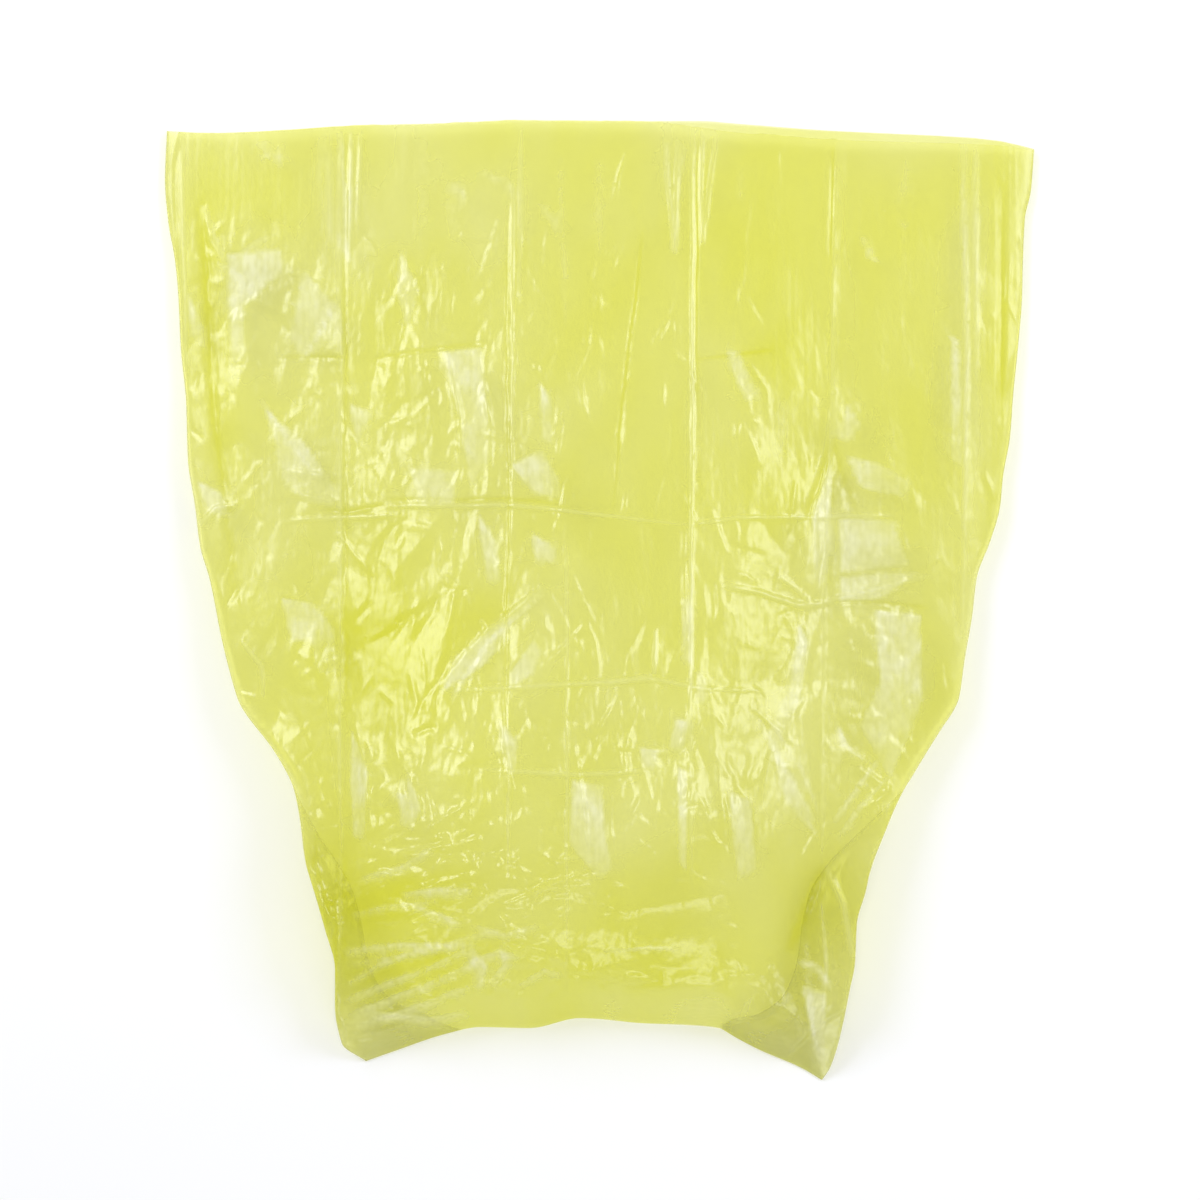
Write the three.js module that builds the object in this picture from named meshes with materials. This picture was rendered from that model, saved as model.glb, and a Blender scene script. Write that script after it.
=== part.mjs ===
// Trash can liner: one tube of thin polyethylene film with a gusset along each side, heat-sealed
// across its bottom and cut plain at its mouth. It lies on its back with the mouth towards +Y and
// the gussets opened out there. Its lower half still holds some air.
// Units are millimetres, +Z is up, and the origin is the centre of its footprint on the floor.
import * as THREE from "three";

// Sizes of the film tube as it is made
const PANEL_WIDTH = 290;
const GUSSET_DEPTH = 109;
const FLAT_LENGTH = 559;
const FILM_WALL = 0.55;
const SEAL_STRIP = 8;

// Heights of the film over the floor as it lies
const MOUTH_GAPE = 14;
const PUFF_HEIGHT = 80;
const LEFT_EDGE_HEIGHT = 46;
const RIGHT_EDGE_HEIGHT = 33;

// How the laid tube departs from straight: the panel sits left of the middle, and the mouth's
// two ends droop towards the seal
const PANEL_SHIFT = 6;
const LEFT_MOUTH_DROOP = 5;
const RIGHT_MOUTH_DROOP = 16;

// Where the air lifts the film highest, as a share of the length from the mouth, and how far the
// gusset's halves bulge, as a share of the panel edge's height
const PEAK = 0.8;
const BULGE = 0.18;

// Profiles from the mouth, 0, to the seal, 1. RISE is the share of the full height, PANEL_SHARE the
// share of the panel's width, and a SPREAD the share of the gusset that reaches out past the panel.
// FOLD_LIFT is how high the gusset's middle fold lies, as a share of the panel edge's height
const RISE = [[0, 0], [0.3, 0.3], [0.55, 0.62], [PEAK, 1], [0.88, 0.93], [0.94, 0.66], [1, 0]];
const PANEL_SHARE = [[0, 1], [0.35, 0.985], [0.55, 0.974], [0.9, 0.97], [1, 0.92]];
const LEFT_SPREAD = [
  [0, 0.945], [0.15, 0.885], [0.37, 0.815], [0.5, 0.7], [0.64, 0.535],
  [0.72, 0.3], [0.81, 0.185], [0.88, 0.1], [0.94, 0], [1, 0],
];
const RIGHT_SPREAD = [
  [0, 1.055], [0.15, 1.01], [0.35, 0.963], [0.42, 0.92], [0.5, 0.82], [0.64, 0.71],
  [0.74, 0.42], [0.83, 0.25], [0.89, 0.15], [0.95, 0.02], [1, 0],
];
const FOLD_LIFT = [[0, 0.15], [0.3, 0.2], [0.6, 0.35], [0.8, 0.5], [1, 0.5]];

// Facets of the loft: along the bag, across a panel, and across each half of a gusset
const STEPS_ALONG = 22;
const STEPS_PANEL = 10;
const STEPS_GUSSET = 3;

const FILM_COLOUR = 0xe1e478;
const FILM_ROUGHNESS = 0.3;

// A smooth curve through points [place, value] that never swings past them.
function profile(points) {
  const slopeBetween = (a, b) => (b[1] - a[1]) / (b[0] - a[0]);
  const slopes = points.map((point, i) => {
    if (i === 0 || i === points.length - 1) return 0;
    const before = slopeBetween(points[i - 1], point);
    const after = slopeBetween(point, points[i + 1]);
    return before * after <= 0 ? 0 : (2 * before * after) / (before + after);
  });
  slopes[0] = slopeBetween(points[0], points[1]);
  const last = points.length - 1;
  slopes[last] = slopeBetween(points[last - 1], points[last]);
  return (place) => {
    const held = THREE.MathUtils.clamp(place, points[0][0], points[last][0]);
    const i = Math.min(points.findLastIndex((point) => point[0] <= held), last - 1);
    const span = points[i + 1][0] - points[i][0];
    const t = (held - points[i][0]) / span;
    const rest = 1 - t;
    return (
      points[i][1] * rest * rest * (1 + 2 * t) +
      points[i + 1][1] * t * t * (1 + 2 * rest) +
      slopes[i] * span * t * rest * rest -
      slopes[i + 1] * span * t * t * rest
    );
  };
}

const rise = profile(RISE);
const panelShare = profile(PANEL_SHARE);
const leftSpread = profile(LEFT_SPREAD);
const rightSpread = profile(RIGHT_SPREAD);
const foldLift = profile(FOLD_LIFT);

// Film that climbs over the air and comes down again covers less floor than its flat length.
function laidLength(height) {
  return FLAT_LENGTH - height ** 2 / (2 * FLAT_LENGTH * PEAK * (1 - PEAK));
}

// Height of the front panel at a share across it, with the full height named for that place.
function heightOver(full, s) {
  const slack = THREE.MathUtils.lerp(MOUTH_GAPE, 4 * FILM_WALL, s);
  return slack + rise(s) * (full - slack);
}

// The full height of the front panel at a share across it, 0 at its left fold and 1 at its right.
function fullHeight(across) {
  const held = THREE.MathUtils.clamp(across, 0, 1);
  const edges = THREE.MathUtils.lerp(LEFT_EDGE_HEIGHT, RIGHT_EDGE_HEIGHT, held);
  const crown = PUFF_HEIGHT - (LEFT_EDGE_HEIGHT + RIGHT_EDGE_HEIGHT) / 2;
  return edges + crown * 4 * held * (1 - held);
}

// Left and right folds of the panels at s.
function panelFolds(s) {
  const left = -PANEL_SHIFT - PANEL_WIDTH / 2;
  return [left, left + PANEL_WIDTH * panelShare(s)];
}

// Distance from the mouth's middle to a point of the bag, along -Y.
function alongBag(x, s) {
  const [left, right] = panelFolds(s);
  const reach = (2 * x) / (PANEL_WIDTH + 2 * GUSSET_DEPTH);
  const droop = (reach < 0 ? LEFT_MOUTH_DROOP : RIGHT_MOUTH_DROOP) * reach ** 2;
  return droop + s * laidLength(fullHeight((x - left) / (right - left)));
}

// A closed clockwise line with every side moved inwards by the same distance.
function insetLine(line, inset) {
  return line.map((corner, i) => {
    const before = line[(i + line.length - 1) % line.length];
    const after = line[(i + 1) % line.length];
    const first = corner.clone().sub(before).normalize();
    const second = after.clone().sub(corner).normalize();
    const inward = new THREE.Vector2(first.y + second.y, -first.x - second.x);
    return corner.clone().addScaledVector(inward, inset / (1 + first.dot(second)));
  });
}

// Points from one corner up to but not including the next, bulged outwards, never under the floor.
function edgePoints(from, to, steps, bulge) {
  const outward = new THREE.Vector2(from.y - to.y, to.x - from.x).normalize();
  return Array.from({ length: steps }, (unused, k) => {
    const share = k / steps;
    const point = from.clone().lerp(to, share).addScaledVector(outward, bulge * 4 * share * (1 - share));
    point.y = Math.max(point.y, 0);
    return point;
  });
}

// One closed ring of the bag at s: left gusset, front panel, right gusset, and back again below.
function ring(s, inset) {
  const [left, right] = panelFolds(s);
  const leftHeight = heightOver(LEFT_EDGE_HEIGHT, s);
  const rightHeight = heightOver(RIGHT_EDGE_HEIGHT, s);
  const leftBulge = BULGE * leftHeight;
  const rightBulge = BULGE * rightHeight;
  const crown = heightOver(fullHeight(0.5), s) - (leftHeight + rightHeight) / 2;
  const leftFold = new THREE.Vector2(left - GUSSET_DEPTH * leftSpread(s), leftHeight * foldLift(s));
  const leftTop = new THREE.Vector2(left, leftHeight);
  const rightTop = new THREE.Vector2(right, rightHeight);
  const rightFold = new THREE.Vector2(right + GUSSET_DEPTH * rightSpread(s), rightHeight * foldLift(s));
  const rightFoot = new THREE.Vector2(right, 0);
  const leftFoot = new THREE.Vector2(left, 0);
  const section = [
    ...edgePoints(leftFold, leftTop, STEPS_GUSSET, leftBulge),
    ...edgePoints(leftTop, rightTop, STEPS_PANEL, crown),
    ...edgePoints(rightTop, rightFold, STEPS_GUSSET, rightBulge),
    ...edgePoints(rightFold, rightFoot, STEPS_GUSSET, rightBulge),
    ...edgePoints(rightFoot, leftFoot, STEPS_PANEL, 0),
    ...edgePoints(leftFoot, leftFold, STEPS_GUSSET, leftBulge),
  ];
  const line = inset > 0 ? insetLine(section, inset) : section;
  return line.map((point, i) => new THREE.Vector3(point.x, -alongBag(section[i].x, s), point.y));
}

// Corner indexes of the quads between rings of equal count, facing out, from the first ring's index.
function sideFaces(first, ringCount, count) {
  const faces = [];
  for (let i = 0; i + 1 < ringCount; i++) {
    for (let k = 0; k < count; k++) {
      const here = first + i * count + k;
      const next = first + i * count + ((k + 1) % count);
      faces.push(here, here + count, next, next, here + count, next + count);
    }
  }
  return faces;
}

// Corner indexes of the strip that closes a ring between its upper and lower halves, facing the seal.
function endFaces(first, count) {
  const faces = [];
  const half = count / 2;
  for (let k = 0; k < half; k++) {
    const under = first + ((count - k) % count);
    const underNext = first + count - k - 1;
    if (k > 0) faces.push(first + k, under, first + k + 1);
    if (k + 1 < half) faces.push(under, underNext, first + k + 1);
  }
  return faces;
}

// The film: an outer and an inner skin joined round the mouth's rim, with the solid seal strip
// between their two closed ends.
function linerFilm() {
  const sealStart = 1 - SEAL_STRIP / laidLength(PUFF_HEIGHT);
  const shares = Array.from({ length: STEPS_ALONG + 1 }, (unused, i) => (i / STEPS_ALONG) * sealStart);
  const outer = [...shares, 1].map((s) => ring(s, 0));
  const inner = shares.map((s) => ring(s, FILM_WALL));
  const count = outer[0].length;
  const innerStart = outer.length * count;
  const rim = [];
  for (let k = 0; k < count; k++) {
    const next = (k + 1) % count;
    rim.push(k, next, innerStart + k, next, innerStart + next, innerStart + k);
  }
  const faces = [
    ...sideFaces(0, outer.length, count),
    ...endFaces(innerStart - count, count),
    ...rim,
    ...sideFaces(innerStart, inner.length, count).reverse(),
    ...endFaces(innerStart + (inner.length - 1) * count, count).reverse(),
  ];
  const geometry = new THREE.BufferGeometry();
  const corners = [...outer, ...inner].flat().flatMap((point) => point.toArray());
  geometry.setAttribute("position", new THREE.Float32BufferAttribute(corners, 3));
  geometry.setIndex(faces);
  geometry.computeVertexNormals();
  return geometry;
}

const film = linerFilm();
film.computeBoundingBox();
const middle = film.boundingBox.getCenter(new THREE.Vector3());
film.translate(-middle.x, -middle.y, -film.boundingBox.min.z);

const liner = new THREE.Group();
const material = new THREE.MeshStandardMaterial({
  color: FILM_COLOUR,
  roughness: FILM_ROUGHNESS,
  metalness: 0,
  side: THREE.DoubleSide,
});
const filmMesh = new THREE.Mesh(film, material);
filmMesh.name = "liner_film";
liner.add(filmMesh);

export default liner;
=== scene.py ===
"""A side-gusseted trash can liner of thin translucent film, lying on its back with some air in it.

The film is one tube with a seal across its bottom. Its plan is laid out in the pixels of the
photograph, seen straight down, and every height is in millimetres. One step at the end turns both
into metres in the frame of the CAD model.
"""
import math

import bpy
import numpy as np
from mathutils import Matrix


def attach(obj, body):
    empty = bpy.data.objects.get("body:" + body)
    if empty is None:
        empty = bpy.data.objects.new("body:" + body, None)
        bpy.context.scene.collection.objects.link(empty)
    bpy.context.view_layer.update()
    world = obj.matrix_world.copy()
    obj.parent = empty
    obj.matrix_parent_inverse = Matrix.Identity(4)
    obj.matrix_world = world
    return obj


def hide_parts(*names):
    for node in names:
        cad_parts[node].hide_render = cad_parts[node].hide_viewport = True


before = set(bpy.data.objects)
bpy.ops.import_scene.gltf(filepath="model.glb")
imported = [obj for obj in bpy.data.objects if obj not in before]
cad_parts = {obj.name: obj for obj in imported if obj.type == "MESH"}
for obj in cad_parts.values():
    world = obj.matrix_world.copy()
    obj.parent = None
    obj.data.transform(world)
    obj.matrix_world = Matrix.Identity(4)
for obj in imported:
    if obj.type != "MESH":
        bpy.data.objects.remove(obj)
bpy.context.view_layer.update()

# The photograph: pixels across, metres to a pixel on the floor, and the camera's height
PHOTO = 1200
PIXEL = 0.000584
CAMERA_HEIGHT = 1.8
SENSOR = 36.0

# Soft lights: name, place in metres, width, height and watts
LIGHTS = [
    ("key", (-1.1, 0.95, 1.4), 0.8, 0.85, 18.5),
    ("fill", (1.2, 0.7, 1.35), 0.7, 0.8, 13.5),
    ("low", (0.3, -1.6, 0.8), 1.0, 0.3, 6),
]
LIGHT_COLOUR = (0.95, 0.96, 1.0)
SKY_STRENGTH = 0.52
FLOOR_COLOUR = (0.95, 0.95, 0.95, 1)
FLOOR_HALF = 3.0

# Heights in millimetres
MOUTH_GAPE = 9.0
PUFF_HEIGHT = 76.0
LEFT_EDGE_HEIGHT = 48.0
RIGHT_EDGE_HEIGHT = 36.0
SEAL_LIFT = 1.2
FLOOR_CLEAR = 0.5
MOST_RELIEF = 4.5

# Layers of flat facets in the film: their width and height in pixels, turn in radians, and seed
BROAD_FACETS = (64, 120, -0.1, 12)
SLIM_FACETS = (25, 56, 0.08, 11)
FINE_FACETS = (13, 26, 0.1, 13)
FINEST_FACETS = (7, 12, -0.2, 18)
SLANTED_FACETS = (46, 15, -0.35, 14)
SLANTED_FINE_FACETS = (24, 9, 0.3, 15)
SEAL_FACETS = (30, 22, 0.2, 16)
FLAT_FACETS = (58, 84, 0.15, 17)
BACK_FACETS = (40, 60, 0.2, 31)
BACK_FINE_FACETS = (16, 24, -0.2, 32)
TONE_FACETS = (52, 90, 0.2, 42)
TONE_FINE_FACETS = (20, 40, 0.1, 43)

# Short random ridges: how many, seed, lean in degrees and its spread, shortest and longest in
# pixels, and height in millimetres
FRONT_RIDGES = (460, 51, 88, 24, (18, 75), 0.7)
CROSS_RIDGES = (150, 52, 5, 30, (12, 45), 0.6)
CORNER_RIDGES = (190, 53, -18, 26, (18, 70), 1.3)
SEAL_RIDGES = (90, 54, 88, 18, (18, 55), 1.1)
LONG_RIDGES = (60, 55, 88, 10, (30, 90), 0.35)

# Soft hills of noise: their size in pixels and seed
SWAY_X, SWAY_Y = (60, 21), (60, 23)
QUIVER_X, QUIVER_Y = (11, 22), (11, 24)
RAGGED_HILLS, RAGGED_FINE_HILLS = (17, 25), (6, 26)
TONE_HILLS, HIGHLIGHT_HILLS = (70, 41), (18, 64)

# Where the front is crumpled, and where it is calm: pixel, half-widths, and strength
CRUMPLED_PATCHES = [
    (430, 430, 150, 240, 1), (860, 640, 90, 230, 1), (560, 780, 230, 120, 1),
    (262, 350, 55, 110, 0.8), (300, 640, 50, 80, 0.7), (430, 870, 120, 60, 0.5),
]
CALM_PATCHES = [(390, 660, 60, 90, 1), (430, 190, 90, 60, 1), (750, 250, 60, 80, 1)]
CORNER_PATCH = (425, 930, 120, 85, -12)
SEAL_PATCH = (620, 985, 260, 60)

# Mesh steps: rows from mouth to seal, and columns across each part of the tube
ROW_STEP = 2.1
FINE_ROW_STEP = 1.6
PANEL_STEP = 1.9
FINE_PANEL_STEP = 1.2
UPPER_STEPS = 90
LOWER_STEPS = 10
BACK_STEPS = 50
MOST_TRIANGLES = 196000

# Lines of the bag in the photograph, as pixels, each from its mouth end to its seal end
LEFT_OUTLINE = [
    (167, 131), (165, 180), (168, 220), (175, 260), (178, 290), (181, 350), (186, 400), (188, 460),
    (195, 505), (200, 545), (210, 580), (222, 640), (232, 680), (239, 702), (244, 711), (276, 754),
    (294, 790), (300, 820), (305, 860), (315, 895), (325, 930), (335, 970), (335, 1005),
    (342, 1044), (366, 1061),
]
RIGHT_OUTLINE = [
    (1034, 149), (1031, 190), (1025, 220), (1023, 260), (1022, 300), (1018, 350), (1013, 400),
    (1010, 440), (1003, 480), (1000, 510), (990, 545), (977, 580), (972, 620), (965, 660), (959, 700),
    (956, 708), (940, 733), (920, 765), (900, 800), (885, 835), (870, 875), (866, 893),
    (857, 925), (855, 965),
    (850, 990), (845, 1015), (838, 1045), (830, 1068), (822, 1080),
]
LEFT_FOLD = [(340, 130), (340, 600), (340, 900), (341, 990), (348, 1040), (366, 1061)]
RIGHT_FOLD = [
    (838, 132), (835, 250), (830, 440), (824, 600), (822, 880), (826, 1010), (824, 1060), (822, 1080),
]
LEFT_TUCK = [(840, 0), (880, 10), (920, 21), (955, 27), (985, 36), (1010, 52), (1035, 80), (1061, 95)]
RIGHT_TUCK = [
    (840, 0), (880, 8), (930, 21), (970, 28), (1010, 42), (1040, 66), (1062, 92), (1080, 102),
]
TUCK_EASE = 60
LEFT_GUSSET = {"fold": LEFT_FOLD, "outline": LEFT_OUTLINE, "tuck": LEFT_TUCK, "side": -1}
RIGHT_GUSSET = {"fold": RIGHT_FOLD, "outline": RIGHT_OUTLINE, "tuck": RIGHT_TUCK, "side": 1}
SEAL_ROW = 1061
FINE_ROWS = [(352, 362), (498, 528), (572, 612), (682, 694), (880, 1000)]
FINE_COLUMNS = [(336, 350), (503, 516), (565, 569), (689, 701), (832, 838)]
FRONT_DIP = [(640, 0), (740, 8), (960, 9), (1034, 5)]
MOUTH = [
    (167, 131), (210, 133), (300, 129), (340, 126), (450, 123), (520, 120), (600, 121), (700, 121),
    (740, 124), (835, 131), (900, 134), (962, 137), (1000, 141), (1034, 149),
]
SEAL = [
    (366, 1061), (400, 1049), (445, 1034), (480, 1027), (530, 1028), (580, 1018), (600, 1019),
    (640, 1023), (690, 1025), (720, 1028), (735, 1037), (760, 1050), (800, 1067), (822, 1080),
]
RISE = [(0, 0), (0.3, 0.3), (0.55, 0.62), (0.8, 1), (0.88, 0.94), (0.94, 0.68), (1, 0)]


def curve(points):
    """A smooth function through points that never swings past them."""
    x = np.array([p[0] for p in points], float)
    y = np.array([p[1] for p in points], float)
    step = np.diff(x)
    slope = np.diff(y) / step
    tangent = np.empty(len(x))
    tangent[0], tangent[-1] = slope[0], slope[-1]
    before, after = slope[:-1], slope[1:]
    same = before * after > 0
    total = np.where(same, before + after, 1.0)
    tangent[1:-1] = np.where(same, 2 * before * after / total, 0.0)

    def value(at):
        held = np.clip(np.asarray(at, float), x[0], x[-1])
        i = np.clip(np.searchsorted(x, held, side="right") - 1, 0, len(step) - 1)
        t = (held - x[i]) / step[i]
        rest = 1 - t
        return (
            y[i] * rest**2 * (1 + 2 * t)
            + y[i + 1] * t**2 * (1 + 2 * rest)
            + step[i] * t * rest * (tangent[i] * rest - tangent[i + 1] * t)
        )

    return value


def down(line, v):
    """Pixel x and y of a line that runs from the mouth to the seal, at a share of its height."""
    y = line[0][1] + v * (line[-1][1] - line[0][1])
    return curve([(p[1], p[0]) for p in line])(y), y


def mix(a, b, share):
    return a + (b - a) * share


# Image fields: heights on a square grid of samples over the photograph
SAMPLE = 1
SIDE = PHOTO // SAMPLE + 1
GRID_X, GRID_Y = np.meshgrid(np.arange(SIDE) * SAMPLE * 1.0, np.arange(SIDE) * SAMPLE * 1.0)


def sampled(field, x, y):
    """A field read between its samples."""
    gx = np.clip(x / SAMPLE, 0, SIDE - 1.001)
    gy = np.clip(y / SAMPLE, 0, SIDE - 1.001)
    i, j = gx.astype(int), gy.astype(int)
    s, t = gx - i, gy - j
    top = mix(field[j, i], field[j, i + 1], s)
    low = mix(field[j + 1, i], field[j + 1, i + 1], s)
    return mix(top, low, t)


def softened(field, times):
    for _ in range(times):
        padded = np.pad(field, 1, mode="edge")
        across = padded[1:-1, :-2] + 2 * padded[1:-1, 1:-1] + padded[1:-1, 2:]
        padded = np.pad(across, ((1, 1), (0, 0)), mode="edge")
        field = (padded[:-2] + 2 * padded[1:-1] + padded[2:]) / 16
    return field


def smooth_noise(size, seed):
    """Soft random hills from -1 to 1, with hills about size pixels apart."""
    rng = np.random.default_rng(seed)
    count = int(PHOTO / size) + 4
    lattice = rng.uniform(-1, 1, (count, count))
    gx, gy = GRID_X / size, GRID_Y / size
    i, j = gx.astype(int), gy.astype(int)
    s, t = gx - i, gy - j
    s, t = s * s * (3 - 2 * s), t * t * (3 - 2 * t)
    above = mix(lattice[j, i], lattice[j, i + 1], s)
    below = mix(lattice[j + 1, i], lattice[j + 1, i + 1], s)
    return mix(above, below, t)


def facets(wide, tall, turn, seed, lift=None):
    """Flat triangular facets in cells of the given size, between random heights from -1 to 1.

    With lift, a function of pixels, the facets span its heights instead.
    """
    rng = np.random.default_rng(seed)
    reach = PHOTO * 1.5
    across, along = int(reach / wide) + 2, int(reach / tall) + 2
    cx, cy = np.meshgrid(np.arange(across) * wide, np.arange(along) * tall)
    cx = cx + rng.uniform(-0.42, 0.42, cx.shape) * wide - reach / 2
    cy = cy + rng.uniform(-0.42, 0.42, cy.shape) * tall - reach / 2
    height = rng.uniform(-1, 1, cx.shape)
    cos, sin = math.cos(turn), math.sin(turn)
    px = cx * cos - cy * sin + PHOTO / 2
    py = cx * sin + cy * cos + PHOTO / 2
    if lift:
        height = lift(px, py)
    px, py = px / SAMPLE, py / SAMPLE
    corner = np.stack([px, py, height], -1)
    a, b, c, d = corner[:-1, :-1], corner[:-1, 1:], corner[1:, :-1], corner[1:, 1:]
    lean = rng.random(a.shape[:2]) < 0.5
    one = np.where(lean[..., None, None], np.stack([a, b, c], -2), np.stack([a, b, d], -2))
    two = np.where(lean[..., None, None], np.stack([b, d, c], -2), np.stack([a, d, c], -2))
    triangles = np.concatenate([one.reshape(-1, 3, 3), two.reshape(-1, 3, 3)])
    low = np.floor(triangles[..., :2].min(1)).astype(int)
    high = np.ceil(triangles[..., :2].max(1)).astype(int)
    inside = (high[:, 0] >= 0) & (high[:, 1] >= 0) & (low[:, 0] < SIDE) & (low[:, 1] < SIDE)
    triangles, low, high = triangles[inside], low[inside], high[inside]
    span = (high - low).max(0) + 1
    field = np.zeros((SIDE, SIDE))
    p, q, r = triangles[:, 0], triangles[:, 1], triangles[:, 2]
    area = (q[:, 0] - p[:, 0]) * (r[:, 1] - p[:, 1]) - (r[:, 0] - p[:, 0]) * (q[:, 1] - p[:, 1])
    area = np.where(np.abs(area) < 1e-9, 1e-9, area)
    for ox in range(span[0]):
        for oy in range(span[1]):
            x, y = low[:, 0] + ox, low[:, 1] + oy
            u = ((x - p[:, 0]) * (r[:, 1] - p[:, 1]) - (r[:, 0] - p[:, 0]) * (y - p[:, 1])) / area
            w = ((q[:, 0] - p[:, 0]) * (y - p[:, 1]) - (x - p[:, 0]) * (q[:, 1] - p[:, 1])) / area
            hit = (u >= -1e-6) & (w >= -1e-6) & (u + w <= 1 + 1e-6)
            hit &= (x >= 0) & (y >= 0) & (x < SIDE) & (y < SIDE)
            value = p[:, 2] + u * (q[:, 2] - p[:, 2]) + w * (r[:, 2] - p[:, 2])
            field[y[hit], x[hit]] = value[hit]
    return field


def patch(x, y, wide, tall, turn=0.0):
    """A soft round mask, 1 at its middle, with half-widths in pixels and a turn in degrees."""
    angle = math.radians(turn)
    dx, dy = GRID_X - x, GRID_Y - y
    u = (dx * math.cos(angle) + dy * math.sin(angle)) / wide
    w = (-dx * math.sin(angle) + dy * math.cos(angle)) / tall
    return 1 / (1 + (u * u + w * w) ** 2)


def stroke(field, points, height, left, right):
    """Adds a tent along a line of pixels: its widths to the left and right of the way it runs."""
    points = np.array(points, float)
    lengths = np.hypot(*np.diff(points, axis=0).T)
    total = lengths.sum()
    margin = max(left, right) + 4
    lo = np.maximum(((points.min(0) - margin) / SAMPLE).astype(int), 0)
    hi = np.minimum(((points.max(0) + margin) / SAMPLE).astype(int) + 1, SIDE - 1)
    window = (slice(lo[1], hi[1] + 1), slice(lo[0], hi[0] + 1))
    gx, gy = GRID_X[window], GRID_Y[window]
    nearest = np.full(gx.shape, 1e9)
    best = np.zeros(gx.shape)
    along = 0.0
    for (x0, y0), (x1, y1), length in zip(points[:-1], points[1:], lengths):
        dx, dy = (x1 - x0) / length, (y1 - y0) / length
        t = np.clip((gx - x0) * dx + (gy - y0) * dy, 0, length)
        ax, ay = gx - (x0 + t * dx), gy - (y0 + t * dy)
        distance = np.hypot(ax, ay)
        side = dx * ay - dy * ax
        width = np.where(side > 0, right, left)
        place = (along + t) / total
        taper = np.sqrt(np.clip(4 * place * (1 - place), 0, 1))
        tent = np.clip(1 - distance / width, 0, 1) * taper
        closer = distance < nearest
        nearest = np.where(closer, distance, nearest)
        best = np.where(closer, tent, best)
        along += length
    field[window] += height * best


# Sharp creases: pixel points, height in millimetres, and widths to the left and right
CREASES = [
    ([(341, 127), (340, 600), (341, 1000)], 0.45, 2, 3),
    ([(346, 127), (345, 700)], -0.3, 3, 3),
    ([(328, 130), (331, 248)], 0.5, 2, 4), ([(318, 134), (322, 230)], 0.3, 3, 3),
    ([(352, 130), (349, 262)], 0.6, 4, 2), ([(362, 128), (358, 225)], 0.4, 3, 3),
    ([(508, 205), (507, 350), (509, 520), (506, 700), (507, 890)], -0.7, 2.5, 3.5),
    ([(513, 180), (512, 505)], 0.5, 2, 3), ([(521, 125), (519, 300)], 0.3, 3, 3),
    ([(567, 540), (567, 1000)], 0.35, 2, 2),
    ([(692, 125), (692, 400), (691, 650), (692, 900)], 0.55, 2, 3),
    ([(698, 125), (697, 430)], -0.5, 3, 4),
    ([(838, 133), (835, 250), (830, 440), (824, 600), (822, 890)], 0.5, 2, 3),
    ([(833, 140), (831, 260)], -0.35, 3, 3),
    ([(962, 136), (966, 350), (962, 640)], 0.5, 4, 3), ([(975, 140), (976, 380)], 0.45, 3, 4),
    ([(1002, 180), (1001, 420)], -0.7, 6, 6),
    ([(204, 200), (210, 330), (216, 420), (228, 520), (236, 610)], -0.8, 6, 8),
    ([(183, 150), (186, 380)], 0.4, 3, 3), ([(176, 150), (178, 300)], -0.3, 3, 3),
    ([(641, 225), (636, 300), (628, 345), (620, 430), (612, 510)], -0.55, 4, 3),
    ([(666, 140), (674, 255)], 0.5, 3, 4), ([(678, 140), (674, 255)], 0.5, 4, 3),
    ([(702, 130), (702, 245)], 0.5, 3, 4), ([(716, 130), (702, 245)], 0.5, 4, 3),
    ([(280, 358), (345, 357)], -0.5, 3, 3), ([(372, 359), (430, 350), (490, 343)], -0.6, 3, 3),
    ([(697, 360), (735, 356), (775, 349)], -0.6, 3, 3),
    ([(285, 522), (340, 517), (400, 515)], 0.7, 3, 3), ([(318, 509), (345, 512), (385, 505)], -0.9, 3, 4),
    ([(385, 506), (500, 505), (570, 512), (650, 520), (690, 525)], 0.75, 3, 3),
    ([(385, 500), (500, 499), (570, 506)], -0.4, 3, 3),
    ([(690, 525), (735, 518), (815, 518), (895, 515)], 0.6, 2.5, 3),
    ([(720, 585), (760, 592), (800, 605), (830, 601), (880, 588), (930, 575)], 1.0, 4, 4),
    ([(810, 600), (860, 600), (930, 608)], -0.6, 3, 4), ([(780, 575), (815, 603)], 0.6, 3, 3),
    ([(440, 692), (540, 686), (650, 680), (700, 688), (765, 690)], 0.6, 3, 3),
    ([(480, 768), (570, 774), (645, 772)], 0.5, 3, 3), ([(600, 950), (690, 946)], 0.5, 3, 4),
    ([(832, 437), (824, 470), (808, 522)], -1.5, 3.5, 6),
    ([(832, 437), (842, 475), (856, 518)], -1.5, 6, 3.5),
    ([(834, 445), (832, 530), (829, 600)], -0.9, 3, 3), ([(820, 455), (814, 520), (817, 590)], 0.7, 3, 3),
    ([(838, 385), (832, 437)], 1.0, 5, 3), ([(856, 400), (832, 437)], 0.9, 4, 4),
    ([(825, 865), (806, 910), (788, 955)], -1.4, 6, 8), ([(825, 865), (845, 905), (852, 960)], 0.9, 5, 5),
    ([(200, 525), (215, 508), (236, 505)], 1.0, 3, 4), ([(205, 205), (212, 240), (228, 266)], 0.8, 4, 4),
    ([(866, 235), (870, 258), (880, 262)], 0.8, 3, 3), ([(655, 628), (652, 676)], 0.7, 2.5, 3),
    ([(652, 676), (610, 684)], 0.5, 2.5, 3), ([(240, 640), (262, 668), (264, 700)], 0.8, 3, 4),
    ([(438, 688), (488, 630), (546, 588)], 1.2, 5, 9),
]

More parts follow.
